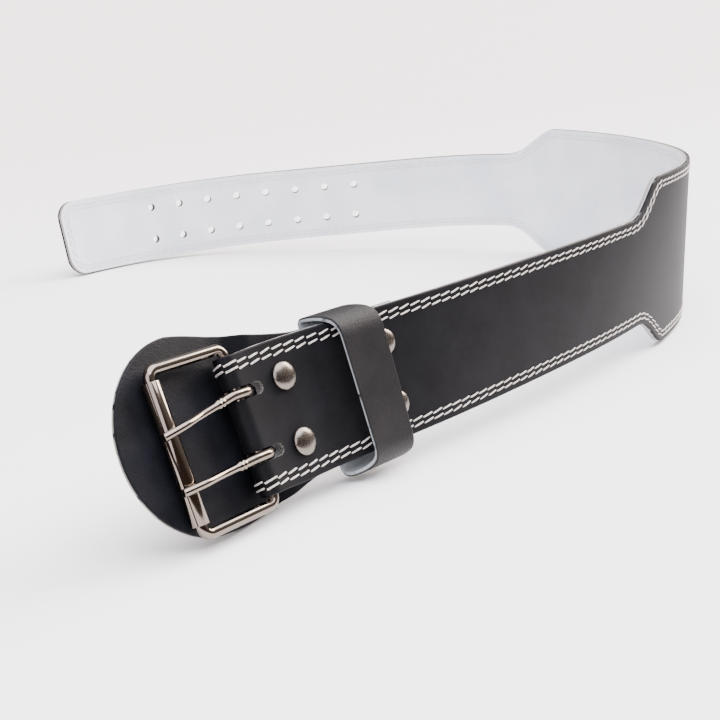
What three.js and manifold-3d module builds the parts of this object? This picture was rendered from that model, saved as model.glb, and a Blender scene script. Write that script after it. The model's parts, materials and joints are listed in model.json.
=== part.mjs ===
// A leather weightlifting belt that stands on its lower edge with its buckle open.
// Millimetres, +Z up. The floor is z = 0, under the middle of the belt's own box.
import * as THREE from "three";
import { mergeVertices } from "three/addons/utils/BufferGeometryUtils.js";
import Module from "manifold-3d";

const wasm = await Module();
wasm.setup();

// Belt, as cut flat. Places along it are counted from the buckle's bar to the tip.
const beltLength = 1074;
const strapWidth = 63.5;
const farStrapWidth = 61.4;
const tipWidth = 57.2;
const tipCornerRadius = 14;
const backWidth = 104.6;
const backMiddle = 492;
const backLength = 290;
const shoulderLength = 44;
const shoulderHollow = 1.2;
const foldNarrowing = 0.7;
const leatherThickness = 2.6;
const liningThickness = 1.9;
const liningStart = 14;

// Two rows of holes near the tip
const holePitch = 25.2;
const holeCount = 8;
const holeRadius = 3;
const holeRowSpacing = 26.3;
const lastHoleFromTip = 85.2;

// Buckle: a bent wire frame on a bar in the fold, a roller on its far side and two prongs
const wireRadius = 2.5;
const frameReach = 41.5;
const frameHalfWidth = 34.9;
const frameCornerRadius = 4.2;
const frameDip = 2.2;
const rollerRadius = 4;
const rollerLength = 60.4;
const rollerSeam = 0.5;
const rollerSeamTurn = 35;
const prongSpacing = 27.9;
const prongRootRadius = 2.2;
const prongRadius = 1.75;
const prongOverhang = 6.2;
const prongCrimpAt = 15.5;
const prongCrimpWidth = 1.8;
const prongCrimpRise = 0.15;
const upperProngSlant = -8.8;
const lowerProngSlant = -2.2;
const slotWidth = 5.6;
const slotEnd = 10.5;

// Rivets through every layer, in two pairs
const rivetRowSpacing = 30;
const rivetPairs = [23, 82.5];
const capRadius = 6.4;
const capHeight = 3;
const capRimHeight = 0.6;
const capRimInset = 0.2;
const shankRadius = 2;
const washerRadius = 4.6;
const washerThickness = 1;
const pressedMargin = 1;

// Guard behind the buckle, and the folded end of the strap
const tailEnd = 97;
const guardThickness = 2.4;
const guardEnd = 99;
const guardRadius = 43;
const guardRoundMiddle = -21.5;
const guardRise = 3.9;
const guardNeck = 50;
const guardRampLength = 12;

// Keeper loop between the rivets
const keeperWidth = 24;
const keeperThickness = 2.2;
const keeperMiddle = 58;
const keeperLowPush = 12.5;
const keeperTopPush = 9.3;
const keeperRoom = 5.2;
const keeperAbove = 2.6;
const keeperBelow = 7;
const keeperTopFrontRadius = 13.6;
const keeperTopBackRadius = 3.6;
const keeperLowFrontRadius = 11.5;
const keeperLowBackRadius = 6;

// Clearance between pieces that touch
const gap = 0.3;

// How the belt stands: its heading, climb and inward lean at the bar, in degrees
const headingAtBar = 53.59;
const climbAtBar = -1.53;
const leanAtBar = 25.74;

// Bend and twist along the belt. `along` is a share of the belt's length, and `bend` and `twist`
// are degrees turned in one whole length: bend towards the inside, twist with the top outwards.
const shape = [
  { along: 0.0, bend: -298, twist: 149 },
  { along: 0.05, bend: -180, twist: 107 },
  { along: 0.1, bend: 135, twist: 65 },
  { along: 0.16, bend: 25, twist: 41 },
  { along: 0.22, bend: 63, twist: 42 },
  { along: 0.28, bend: 106, twist: 45 },
  { along: 0.33, bend: 98, twist: 46 },
  { along: 0.38, bend: 316, twist: 45 },
  { along: 0.44, bend: 350, twist: 24 },
  { along: 0.5, bend: 298, twist: -14 },
  { along: 0.56, bend: 379, twist: -44 },
  { along: 0.62, bend: 470, twist: -45 },
  { along: 0.68, bend: 290, twist: -22 },
  { along: 0.74, bend: 5, twist: 11 },
  { along: 0.8, bend: 36, twist: 42 },
  { along: 0.86, bend: 293, twist: 65 },
  { along: 0.92, bend: 311, twist: 83 },
  { along: 1.0, bend: 187, twist: 99 },
];

// Line of a prong from its eye to its tip. `back` is a share of the frame's reach, `level` runs from
// the line of its root, 0, to the line that rests on the roller, 1, and `lift` is in prong radii.
const prongLine = [
  { back: -0.01, level: 0, lift: 0 },
  { back: 0.17, level: 0, lift: 0 },
  { back: 0.35, level: 0, lift: -0.11 },
  { back: 0.64, level: 0.1, lift: 0 },
  { back: 0.86, level: 1, lift: 0.28 },
  { back: 1, level: 1, lift: 0.06 },
];
const prongTipDrop = -0.63;

const degrees = Math.PI / 180;

function blend(from, to, share) {
  return from + (to - from) * share;
}

function ease(share) {
  const t = THREE.MathUtils.clamp(share, 0, 1);
  return t * t * (3 - 2 * t);
}

// Reads one column of a table at a place between its rows, in straight lines or eased.
function readTable(rows, column, place, shapeOf = (share) => share) {
  if (place <= rows[0].along) return rows[0][column];
  for (let i = 1; i < rows.length; i += 1) {
    if (place <= rows[i].along) {
      const share = (place - rows[i - 1].along) / (rows[i].along - rows[i - 1].along);
      return blend(rows[i - 1][column], rows[i][column], shapeOf(share));
    }
  }
  return rows[rows.length - 1][column];
}

// The line along the middle of the belt's outer face, with its directions along, inward and across.
const pathStep = 2;
const path = [];

function startOfPath() {
  const heading = headingAtBar * degrees;
  const climb = climbAtBar * degrees;
  const level = Math.cos(climb);
  const along = new THREE.Vector3(Math.cos(heading) * level, Math.sin(heading) * level, Math.sin(climb));
  const levelInward = new THREE.Vector3(-Math.sin(heading), Math.cos(heading), 0);
  const upright = new THREE.Vector3().crossVectors(along, levelInward);
  const across = upright.multiplyScalar(Math.cos(leanAtBar * degrees));
  across.addScaledVector(levelInward, Math.sin(leanAtBar * degrees));
  const inward = new THREE.Vector3().crossVectors(across, along);
  return { point: new THREE.Vector3(), along, inward, across };
}

function nextOnPath(from, place) {
  const share = place / beltLength;
  const bend = (readTable(shape, "bend", share) * degrees) / beltLength;
  const twist = (readTable(shape, "twist", share) * degrees) / beltLength;
  const turnAxis = from.along.clone().multiplyScalar(twist).addScaledVector(from.across, bend);
  const turnRate = turnAxis.length();
  turnAxis.normalize();
  const halfTurn = (turnRate * pathStep) / 2;
  const midAlong = from.along.clone().applyAxisAngle(turnAxis, halfTurn);
  return {
    point: from.point.clone().addScaledVector(midAlong, pathStep),
    along: from.along.clone().applyAxisAngle(turnAxis, 2 * halfTurn),
    inward: from.inward.clone().applyAxisAngle(turnAxis, 2 * halfTurn),
    across: from.across.clone().applyAxisAngle(turnAxis, 2 * halfTurn),
  };
}

path.push(startOfPath());
for (let place = pathStep / 2; place < beltLength + pathStep; place += pathStep) {
  path.push(nextOnPath(path[path.length - 1], place));
}

// The point of the belt at a place along it, across it and at a depth behind its outer face.
// Before the bar the belt's line runs on straight.
function beltPoint(along, across, depth) {
  const steps = Math.max(along, 0) / pathStep;
  const index = Math.min(Math.floor(steps), path.length - 2);
  const share = steps - index;
  const from = path[index];
  const to = path[index + 1];
  const point = from.point.clone().lerp(to.point, share);
  point.addScaledVector(from.across.clone().lerp(to.across, share), across);
  point.addScaledVector(from.inward.clone().lerp(to.inward, share), depth);
  return point.addScaledVector(from.along, Math.min(along, 0));
}

// A frame on the belt's face: x along it, y across it and z out of it.
function beltFrame(along, across, depth) {
  const start = path[0];
  const upward = path[Math.min(Math.round(Math.max(along, 0) / pathStep), path.length - 1)].across;
  const ahead = start.along.clone();
  if (along > 0) {
    ahead.subVectors(beltPoint(along + pathStep, across, depth), beltPoint(along - pathStep, across, depth));
  }
  const outward = new THREE.Vector3().crossVectors(ahead, upward).normalize();
  const beside = new THREE.Vector3().crossVectors(outward, ahead).normalize();
  const frame = new THREE.Matrix4().makeBasis(ahead.normalize(), beside, outward);
  return frame.setPosition(beltPoint(along, across, depth));
}

// Half the belt's width: a strap, wider across the back, with shoulders in an S and a blunt round tip.
function halfWidth(along) {
  const farShoulder = backMiddle + backLength / 2 + shoulderLength;
  const taper = THREE.MathUtils.clamp((along - farShoulder) / (beltLength - farShoulder), 0, 1);
  const farHalf = blend(farStrapWidth, tipWidth, taper) / 2;
  const narrow = along < backMiddle ? strapWidth / 2 : farHalf;
  const fromBack = Math.abs(along - backMiddle) - backLength / 2;
  const shoulder = THREE.MathUtils.clamp(1 - fromBack / shoulderLength, 0, 1);
  const half = blend(narrow, backWidth / 2, ease(shoulder ** shoulderHollow));
  const folded = foldNarrowing * (1 - ease(along / rivetPairs[0]));
  const fromTip = Math.max(along - (beltLength - tipCornerRadius), 0);
  const corner = tipCornerRadius - Math.sqrt(Math.max(tipCornerRadius ** 2 - fromTip ** 2, 0));
  return half - folded - corner;
}

// Solids for cutting and joining
const weld = 1e-4;

function solidOf(geometry) {
  const plain = geometry.clone();
  plain.deleteAttribute("normal");
  plain.deleteAttribute("uv");
  const closed = mergeVertices(plain, weld);
  const vertProperties = new Float32Array(closed.attributes.position.array);
  const triVerts = new Uint32Array(closed.index.array);
  return new wasm.Manifold(new wasm.Mesh({ numProp: 3, vertProperties, triVerts }));
}

function geometryOf(solid) {
  const mesh = solid.getMesh();
  const geometry = new THREE.BufferGeometry();
  geometry.setAttribute("position", new THREE.BufferAttribute(mesh.vertProperties, 3));
  geometry.setIndex(new THREE.BufferAttribute(mesh.triVerts, 1));
  geometry.computeVertexNormals();
  return geometry;
}

function cutFrom(geometry, cutters) {
  let solid = solidOf(geometry);
  for (const cutter of cutters) {
    solid = solid.subtract(solidOf(cutter));
  }
  return geometryOf(solid);
}

// A sheet of leather. Each row gives its half width, and where its skin and flesh sides lie
// along the belt and behind the belt's outer face. The rows run with the skin on the outside.
function sheet(rows) {
  const box = new THREE.BoxGeometry(1, 2, 1, rows.length - 1, 2, 1);
  const position = box.attributes.position;
  for (let i = 0; i < position.count; i += 1) {
    const row = rows[Math.round((position.getX(i) + 0.5) * (rows.length - 1))];
    const side = position.getZ(i) > 0 ? row.skin : row.flesh;
    const across = row.middle + position.getY(i) * row.half;
    const point = beltPoint(side.along, across, side.depth);
    position.setXYZ(i, point.x, point.y, point.z);
  }
  return box;
}

// A stack of layers at one place: both sides at the same place along the belt
function level(along, half, skinDepth, fleshDepth, middle = 0) {
  return { half, middle, skin: { along, depth: skinDepth }, flesh: { along, depth: fleshDepth } };
}

function spaced(from, to, longest) {
  const count = Math.max(Math.ceil((to - from) / longest), 1);
  return Array.from({ length: count }, (_, i) => blend(from, to, i / count));
}

// From here to the tip the rivets press the layers together
const pressedFrom = rivetPairs[0] - washerRadius - pressedMargin;

// Places along the belt where its outline or bend needs a row. Layers that lie together share them.
function beltPlaces() {
  const nearShoulder = backMiddle - backLength / 2;
  const farShoulder = backMiddle + backLength / 2;
  const cornerTurns = [0, 15, 30, 45, 60, 75, 90];
  const tipPlaces = cornerTurns.map((turn) => Math.sin(turn * degrees) * tipCornerRadius);
  return [
    ...spaced(0, liningStart, 6),
    ...spaced(liningStart, pressedFrom, 6),
    ...spaced(pressedFrom, tailEnd, 6),
    ...spaced(tailEnd, nearShoulder - shoulderLength, 12),
    ...spaced(nearShoulder - shoulderLength, nearShoulder, 7),
    ...spaced(nearShoulder, farShoulder, 14),
    ...spaced(farShoulder, farShoulder + shoulderLength, 7),
    ...spaced(farShoulder + shoulderLength, beltLength - tipCornerRadius, 11),
    ...tipPlaces.map((place) => beltLength - tipCornerRadius + place),
  ];
}

const places = beltPlaces();
const tailPlaces = places.filter((along) => along <= tailEnd);

// Depths of the layers behind the belt's outer face
const barDepth = leatherThickness + gap + wireRadius;
const foldInnerRadius = wireRadius + gap;
const liningSkinDepth = leatherThickness + gap;
const liningDepth = liningSkinDepth + liningThickness;
const tailFleshDepth = liningDepth + gap;
const tailSkinDepth = tailFleshDepth + leatherThickness;
const eyeRadius = wireRadius + gap + 2 * prongRootRadius;
const rollerDepth = barDepth + frameDip;
const cutLength = 6 * tailSkinDepth;

// Belt leather: from the folded end round the bar and on to the tip
function tailDepth(along) {
  const share = ease(along / liningStart);
  return blend(barDepth + foldInnerRadius, tailFleshDepth, share);
}

function leatherRows() {
  const rows = tailPlaces.map((along) => {
    const depth = tailDepth(along);
    return level(along, halfWidth(along), depth + leatherThickness, depth);
  }).reverse();
  for (let turn = 20; turn < 180; turn += 20) {
    const back = Math.sin(turn * degrees);
    const out = Math.cos(turn * degrees);
    const skinRadius = foldInnerRadius + leatherThickness;
    rows.push({
      half: halfWidth(0),
      middle: 0,
      skin: { along: -back * skinRadius, depth: barDepth + out * skinRadius },
      flesh: { along: -back * foldInnerRadius, depth: barDepth + out * foldInnerRadius },
    });
  }
  for (const along of places) {
    rows.push(level(along, halfWidth(along), 0, leatherThickness));
  }
  return rows;
}

// Cutters: round holes, and the slots that the prongs stand in
function holeCutter(along, across, radius) {
  const cutter = new THREE.CylinderGeometry(radius, radius, cutLength, 8);
  cutter.rotateX(Math.PI / 2);
  return cutter.applyMatrix4(beltFrame(along, across, barDepth));
}

function prongHoles() {
  const cutters = [];
  for (let i = 0; i < holeCount; i += 1) {
    const along = beltLength - lastHoleFromTip - i * holePitch;
    for (const row of [-0.5, 0.5]) {
      cutters.push(holeCutter(along, row * holeRowSpacing, holeRadius));
    }
  }
  return cutters;
}

const rivetPlaces = rivetPairs.flatMap((along) => [
  { along, across: rivetRowSpacing / 2 },
  { along, across: -rivetRowSpacing / 2 },
]);

function rivetHoles() {
  return rivetPlaces.map(({ along, across }) => holeCutter(along, across, shankRadius + gap));
}

function prongSlots() {
  const half = slotWidth / 2;
  const outline = new THREE.Shape();
  outline.moveTo(-2 * eyeRadius, -half);
  outline.lineTo(slotEnd - half, -half);
  outline.absarc(slotEnd - half, 0, half, -Math.PI / 2, Math.PI / 2, false);
  outline.lineTo(-2 * eyeRadius, half);
  const extrusion = { depth: cutLength, bevelEnabled: false, curveSegments: 6 };
  return [-0.5, 0.5].map((row) => {
    const slot = new THREE.ExtrudeGeometry(outline, extrusion);
    slot.translate(0, 0, -cutLength / 2);
    return slot.applyMatrix4(beltFrame(0, row * prongSpacing, barDepth));
  });
}

// Lining: pale suede on the inside, from behind the fold to the tip
function liningRows() {
  const lined = places.filter((along) => along >= liningStart);
  return lined.map((along) => level(along, halfWidth(along), liningSkinDepth, liningDepth));
}

// Guard: a round-ended flap behind the buckle, riveted on under the folded end and over the keeper
const keeperLow = keeperMiddle - keeperWidth / 2 - pressedMargin;
const keeperHigh = keeperMiddle + keeperWidth / 2 + pressedMargin;
const pressedAgain = rivetPairs[1] - washerRadius - pressedMargin;
const guardDepths = [
  { along: -frameReach, depth: rollerDepth + rollerRadius + gap },
  { along: -eyeRadius, depth: barDepth + eyeRadius + gap },
  { along: eyeRadius, depth: barDepth + eyeRadius + gap },
  { along: pressedFrom, depth: tailSkinDepth + gap },
  { along: keeperLow - guardRampLength, depth: tailSkinDepth + gap },
  { along: keeperLow, depth: tailSkinDepth + 2 * gap + keeperThickness },
  { along: keeperHigh, depth: tailSkinDepth + 2 * gap + keeperThickness },
  { along: pressedAgain, depth: tailSkinDepth + gap },
];

function guardRow(along, half, middle) {
  const depth = readTable(guardDepths, "depth", along, ease);
  return level(along, half, depth, depth + guardThickness, middle);
}

function guardRows() {
  const rows = [];
  for (let turn = 6; turn < 90; turn += 7) {
    const along = guardRoundMiddle - Math.cos(turn * degrees) * guardRadius;
    rows.push(guardRow(along, Math.sin(turn * degrees) * guardRadius, guardRise));
  }
  const rowPlaces = [...spaced(guardRoundMiddle, 0, 4), ...tailPlaces, keeperHigh, pressedAgain, guardEnd];
  for (const along of rowPlaces.sort((a, b) => a - b)) {
    const share = (along - guardRoundMiddle) / (guardNeck - guardRoundMiddle);
    const half = blend(guardRadius, strapWidth / 2, ease(share));
    rows.push(guardRow(along, half, guardRise * Math.max(1 - share, 0) ** 2));
  }
  return rows;
}

// Keeper: a closed leather loop round the strap, its front pushed towards the back of the belt
function roundedOutline(path2d, low, high, front, back, radii) {
  const { topFront, topBack, lowFront, lowBack } = radii;
  path2d.moveTo(low + lowFront, front);
  path2d.lineTo((low + high) / 2, front);
  path2d.lineTo(high - topFront, front);
  path2d.absarc(high - topFront, front + topFront, topFront, -Math.PI / 2, 0, false);
  path2d.lineTo(high, back - topBack);
  path2d.absarc(high - topBack, back - topBack, topBack, 0, Math.PI / 2, false);
  path2d.lineTo((low + high) / 2, back);
  path2d.lineTo(low + lowBack, back);
  path2d.absarc(low + lowBack, back - lowBack, lowBack, Math.PI / 2, Math.PI, false);
  path2d.lineTo(low, front + lowFront);
  path2d.absarc(low + lowFront, front + lowFront, lowFront, Math.PI, 1.5 * Math.PI, false);
  return path2d;
}

function keeperRadii(inset) {
  return {
    topFront: keeperTopFrontRadius - inset,
    topBack: keeperTopBackRadius - inset,
    lowFront: keeperLowFrontRadius - inset,
    lowBack: keeperLowBackRadius - inset,
  };
}

function keeperGeometry() {
  const low = -strapWidth / 2 - keeperBelow;
  const high = strapWidth / 2 + keeperAbove;
  const back = tailSkinDepth + gap;
  const front = -keeperRoom;
  const thickness = keeperThickness;
  const outer = [low - thickness, high + thickness, front - thickness, back + thickness];
  const outline = roundedOutline(new THREE.Shape(), ...outer, keeperRadii(0));
  const opening = roundedOutline(new THREE.Path(), low, high, front, back, keeperRadii(thickness));
  outline.holes.push(opening);
  const extrusion = { depth: keeperWidth, bevelEnabled: false, curveSegments: 4, steps: 4 };
  const loop = new THREE.ExtrudeGeometry(outline, extrusion);
  const position = loop.attributes.position;
  for (let i = 0; i < position.count; i += 1) {
    const across = position.getX(i);
    const depth = position.getY(i);
    const height = (across - low) / (high - low);
    const push = blend(keeperLowPush, keeperTopPush, height) * ease((back - depth) / (back - front));
    const along = keeperMiddle + keeperWidth / 2 - position.getZ(i) + push;
    const point = beltPoint(along, across, depth);
    position.setXYZ(i, point.x, point.y, point.z);
  }
  return loop;
}

// Rivets: a domed cap outside, a shank through every layer and a plain washer inside
function rivetGeometry(along) {
  const back = readTable(guardDepths, "depth", along, ease) + guardThickness + gap;
  const profile = [new THREE.Vector2(0, gap + capHeight)];
  for (let turn = 18; turn <= 90; turn += 18) {
    const dome = Math.cos(turn * degrees) * (capHeight - capRimHeight);
    profile.push(new THREE.Vector2(Math.sin(turn * degrees) * capRadius, gap + capRimHeight + dome));
  }
  profile.push(new THREE.Vector2(capRadius - capRimInset, gap));
  profile.push(new THREE.Vector2(shankRadius, gap));
  profile.push(new THREE.Vector2(shankRadius, -back));
  profile.push(new THREE.Vector2(washerRadius, -back));
  profile.push(new THREE.Vector2(washerRadius, -back - washerThickness));
  profile.push(new THREE.Vector2(0, -back - washerThickness));
  const rivet = new THREE.LatheGeometry(profile.reverse(), 14);
  return rivet.rotateX(Math.PI / 2);
}

// A round bar of changing thickness along a curve that stays upright to the bar's y axis
function roundBar(centreAt, radiusAt, sides, steps) {
  const bar = new THREE.CylinderGeometry(1, 1, 1, sides, steps);
  const position = bar.attributes.position;
  for (let i = 0; i < position.count; i += 1) {
    const share = 0.5 - position.getY(i);
    const centre = centreAt(share);
    const ahead = centreAt(Math.min(share + 0.01, 1)).sub(centreAt(Math.max(share - 0.01, 0))).normalize();
    const beside = new THREE.Vector3(0, 1, 0).addScaledVector(ahead, -ahead.y).normalize();
    const above = new THREE.Vector3().crossVectors(ahead, beside);
    const radius = radiusAt(share);
    centre.addScaledVector(beside, position.getX(i) * radius);
    centre.addScaledVector(above, position.getZ(i) * radius);
    position.setXYZ(i, centre.x, centre.y, centre.z);
  }
  return bar;
}

// Buckle frame: one ring of wire bent to a rectangle, its bar at x = 0 and its far side at -frameReach
function frameGeometry() {
  const r = frameCornerRadius;
  const corners = [
    { x: -r, y: frameHalfWidth - r, start: 0 },
    { x: r - frameReach, y: frameHalfWidth - r, start: 90 },
    { x: r - frameReach, y: r - frameHalfWidth, start: 180 },
    { x: -r, y: r - frameHalfWidth, start: 270 },
  ];
  const stations = corners.flatMap(({ x, y, start }) => [0, 30, 60, 90].map((turn) => {
    const angle = (start + turn) * degrees;
    return { x: x + r * Math.cos(angle), y: y + r * Math.sin(angle), angle };
  }));
  const ring = new THREE.TorusGeometry(2 * wireRadius, wireRadius, 12, stations.length);
  const position = ring.attributes.position;
  for (let i = 0; i < position.count; i += 1) {
    const turn = Math.atan2(position.getY(i), position.getX(i)) / (2 * Math.PI);
    const index = (Math.round(turn * stations.length) + stations.length) % stations.length;
    const station = stations[index];
    const outward = Math.hypot(position.getX(i), position.getY(i)) - 2 * wireRadius;
    const x = station.x + outward * Math.cos(station.angle);
    position.setXYZ(i, x, station.y + outward * Math.sin(station.angle), position.getZ(i));
  }
  return ring;
}

// Roller: sheet metal rolled to a tube, with an open seam, loose on the frame's far side
function rollerGeometry() {
  const bore = wireRadius + gap;
  const half = rollerLength / 2;
  const profile = [
    new THREE.Vector2(bore, -half),
    new THREE.Vector2(rollerRadius, -half),
    new THREE.Vector2(rollerRadius, half),
    new THREE.Vector2(bore, half),
    new THREE.Vector2(bore, -half),
  ];
  const tube = new THREE.LatheGeometry(profile, 24);
  const seam = new THREE.BoxGeometry(2 * rollerRadius, 2 * rollerLength, rollerSeam);
  seam.translate(-rollerRadius, 0, 0);
  seam.rotateY(rollerSeamTurn * degrees);
  return cutFrom(tube, [seam]);
}

// Prong: an eye round the bar, a thick root, a crimp and a thinner shank bent over the roller
function prongGeometry(slant) {
  const eyeMiddle = wireRadius + gap + prongRootRadius;
  const overRoller = rollerRadius + gap + prongRadius;
  const sideways = Math.tan(slant * degrees);
  const linePoint = (back, level, lift) => {
    const out = blend(eyeMiddle, overRoller, level) + lift * prongRadius;
    return new THREE.Vector3(-back, sideways * Math.max(back - eyeRadius, 0), out);
  };
  const points = prongLine.map(({ back, level, lift }) => linePoint(back * frameReach, level, lift));
  points.push(linePoint(frameReach + prongOverhang, 1, prongTipDrop));
  const curve = new THREE.CatmullRomCurve3(points, false, "centripetal");
  const radiusAt = (share) => {
    const back = -curve.getPointAt(share).x;
    if (Math.abs(back - prongCrimpAt) < prongCrimpWidth / 2) return prongRootRadius + prongCrimpRise;
    return back < prongCrimpAt ? prongRootRadius : prongRadius;
  };
  const shank = roundBar((share) => curve.getPointAt(share), radiusAt, 8, 23);
  const eye = new THREE.TorusGeometry(eyeMiddle, prongRootRadius, 8, 16);
  eye.rotateX(Math.PI / 2);
  return geometryOf(solidOf(eye).add(solidOf(shank)));
}

// Finishes
const blackLeather = { color: 0x23242a, roughness: 0.55, metalness: 0 };
const paleSuede = { color: 0xc9d2d9, roughness: 0.95, metalness: 0 };
const nickel = { color: 0xb8b3ac, roughness: 0.22, metalness: 1 };
const satinNickel = { color: 0xc2bfba, roughness: 0.35, metalness: 1 };

function piece(name, geometry, finish) {
  geometry.computeVertexNormals();
  const mesh = new THREE.Mesh(geometry, new THREE.MeshStandardMaterial(finish));
  mesh.name = name;
  return mesh;
}

// Belt with its four rivets
const belt = new THREE.Group();
const leather = cutFrom(sheet(leatherRows()), [...prongHoles(), ...rivetHoles(), ...prongSlots()]);
belt.add(piece("belt_leather", leather, blackLeather));
const lining = cutFrom(sheet(liningRows()), [...prongHoles(), ...rivetHoles()]);
belt.add(piece("belt_lining", lining, paleSuede));
belt.add(piece("buckle_guard", cutFrom(sheet(guardRows()), rivetHoles()), blackLeather));
belt.add(piece("keeper_loop", keeperGeometry(), blackLeather));
rivetPlaces.forEach(({ along, across }, index) => {
  const rivet = piece(`rivet_${index + 1}`, rivetGeometry(along), satinNickel);
  rivet.applyMatrix4(beltFrame(along, across, 0));
  belt.add(rivet);
});

// Buckle: a group of its own, laid on the place of its bar in the fold
const buckle = new THREE.Group();
buckle.add(piece("buckle_frame", frameGeometry(), nickel));
const roller = piece("buckle_roller", rollerGeometry(), nickel);
roller.position.x = -frameReach;
buckle.add(roller);
const upperProng = piece("prong_upper", prongGeometry(upperProngSlant), nickel);
upperProng.position.y = prongSpacing / 2;
const lowerProng = piece("prong_lower", prongGeometry(lowerProngSlant), nickel);
lowerProng.position.y = -prongSpacing / 2;
buckle.add(upperProng, lowerProng);
const buckleTilt = Math.asin((rollerDepth - barDepth) / frameReach);
buckle.applyMatrix4(beltFrame(0, 0, barDepth).multiply(new THREE.Matrix4().makeRotationY(-buckleTilt)));
belt.add(buckle);

// Stand the belt on the floor, over the middle of its box
const group = new THREE.Group();
group.add(belt);
group.updateMatrixWorld(true);
const bounds = new THREE.Box3().setFromObject(belt, true);
const middle = bounds.getCenter(new THREE.Vector3());
belt.position.set(-middle.x, -middle.y, -bounds.min.z);

export default group;
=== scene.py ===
"""A leather weightlifting belt that stands on its edge, its roller buckle open."""
import json
import math

import bmesh
import bpy
import numpy as np
from mathutils import Matrix, Vector


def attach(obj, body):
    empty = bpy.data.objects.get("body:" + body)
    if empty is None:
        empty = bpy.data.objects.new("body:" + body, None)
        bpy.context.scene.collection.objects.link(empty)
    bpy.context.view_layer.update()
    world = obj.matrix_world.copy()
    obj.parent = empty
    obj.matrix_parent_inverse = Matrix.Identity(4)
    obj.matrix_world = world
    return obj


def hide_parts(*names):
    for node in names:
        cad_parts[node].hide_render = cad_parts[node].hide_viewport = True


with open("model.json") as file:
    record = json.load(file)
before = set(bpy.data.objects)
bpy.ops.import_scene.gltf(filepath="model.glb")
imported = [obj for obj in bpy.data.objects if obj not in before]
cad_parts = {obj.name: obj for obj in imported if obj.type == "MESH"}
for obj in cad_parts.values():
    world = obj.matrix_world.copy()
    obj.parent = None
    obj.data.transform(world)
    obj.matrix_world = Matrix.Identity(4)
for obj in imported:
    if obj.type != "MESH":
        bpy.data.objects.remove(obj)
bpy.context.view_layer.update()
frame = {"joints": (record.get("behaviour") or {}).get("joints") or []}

# The belt's leather
# One strap of 2.6 mm cowhide, black on its grain side. It is cut flat with a wide back, folded
# round the buckle's bar at one end, rounded at the other, and its edges are left raw.
MM = 0.001
belt_length = 1074
strap_width = 63.5
far_strap_width = 61.4
tip_width = 57.2
tip_corner_radius = 14
back_width = 104.6
back_middle = 492
back_length = 290
shoulder_length = 44
shoulder_hollow = 1.2
fold_narrowing = 0.7
leather_thickness = 2.6
lining_thickness = 1.9
lining_start = 14
tail_end = 97
gap = 0.3
wire_radius = 2.5
first_rivets = 23
heading_at_bar = 53.59
climb_at_bar = -1.53
lean_at_bar = 25.74

# Share of the belt's length, and the degrees of bend and twist in one whole length
belt_shape = [
    (0.0, -298, 149),
    (0.05, -180, 107),
    (0.1, 135, 65),
    (0.16, 25, 41),
    (0.22, 63, 42),
    (0.28, 106, 45),
    (0.33, 98, 46),
    (0.38, 316, 45),
    (0.44, 350, 24),
    (0.5, 298, -14),
    (0.56, 379, -44),
    (0.62, 470, -45),
    (0.68, 290, -22),
    (0.74, 5, 11),
    (0.8, 36, 42),
    (0.86, 293, 65),
    (0.92, 311, 83),
    (1.0, 187, 99),
]

bar_depth = leather_thickness + gap + wire_radius
fold_inner_radius = wire_radius + gap
lining_skin_depth = leather_thickness + gap
lining_depth = lining_skin_depth + lining_thickness
tail_flesh_depth = lining_depth + gap
tail_skin_depth = tail_flesh_depth + leather_thickness
line_step = 2
sharp_angle = 42


def belt_line():
    """The line along the middle of the belt's face: points and the three directions there."""
    heading, climb, lean = (math.radians(a) for a in (heading_at_bar, climb_at_bar, lean_at_bar))
    level = math.cos(climb)
    along = Vector((math.cos(heading) * level, math.sin(heading) * level, math.sin(climb)))
    level_inward = Vector((-math.sin(heading), math.cos(heading), 0))
    across = along.cross(level_inward) * math.cos(lean) + level_inward * math.sin(lean)
    inward = across.cross(along)
    bar = Vector(frame["joints"][0]["pos_m"]) / MM
    point = bar - inward * bar_depth
    shares, bends, twists = zip(*belt_shape)
    rows = [(point, along, inward, across)]
    place = line_step / 2
    while place < belt_length + line_step:
        share = place / belt_length
        bend = math.radians(np.interp(share, shares, bends)) / belt_length
        twist = math.radians(np.interp(share, shares, twists)) / belt_length
        axis = along * twist + across * bend
        turn = axis.length * line_step
        halfway = Matrix.Rotation(turn / 2, 3, axis)
        whole = Matrix.Rotation(turn, 3, axis)
        point = point + (halfway @ along) * line_step
        along, inward, across = whole @ along, whole @ inward, whole @ across
        rows.append((point, along, inward, across))
        place += line_step
    return [np.array([row[i][:] for row in rows]) for i in range(4)]


line_point, line_along, line_inward, line_across = belt_line()


def belt_points(along, across, depth):
    """Points of the belt in metres, from places along and across it and depths behind its face in mm."""
    along, across, depth = np.broadcast_arrays(*(np.asarray(v, float) for v in (along, across, depth)))
    steps = np.maximum(along, 0) / line_step
    index = np.minimum(steps.astype(int), len(line_point) - 2)
    share = (steps - index)[..., None]

    def between(values):
        return values[index] * (1 - share) + values[index + 1] * share

    point = between(line_point) + between(line_across) * across[..., None]
    point = point + between(line_inward) * depth[..., None]
    return (point + line_along[0] * np.minimum(along, 0)[..., None]) * MM


def belt_frame(along, across, depth):
    """A place on the belt's face: x along it, y across it and z out of it."""
    ahead = Vector(line_along[0])
    if along > 0:
        ends = belt_points([along - line_step, along + line_step], across, depth)
        ahead = Vector(ends[1] - ends[0]).normalized()
    upward = Vector(line_across[round(max(along, 0) / line_step)])
    outward = ahead.cross(upward).normalized()
    beside = outward.cross(ahead).normalized()
    turned = Matrix((ahead, beside, outward)).transposed().to_4x4()
    return Matrix.Translation(belt_points(along, across, depth)) @ turned


def ease(share):
    share = np.clip(share, 0, 1)
    return share * share * (3 - 2 * share)


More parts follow.
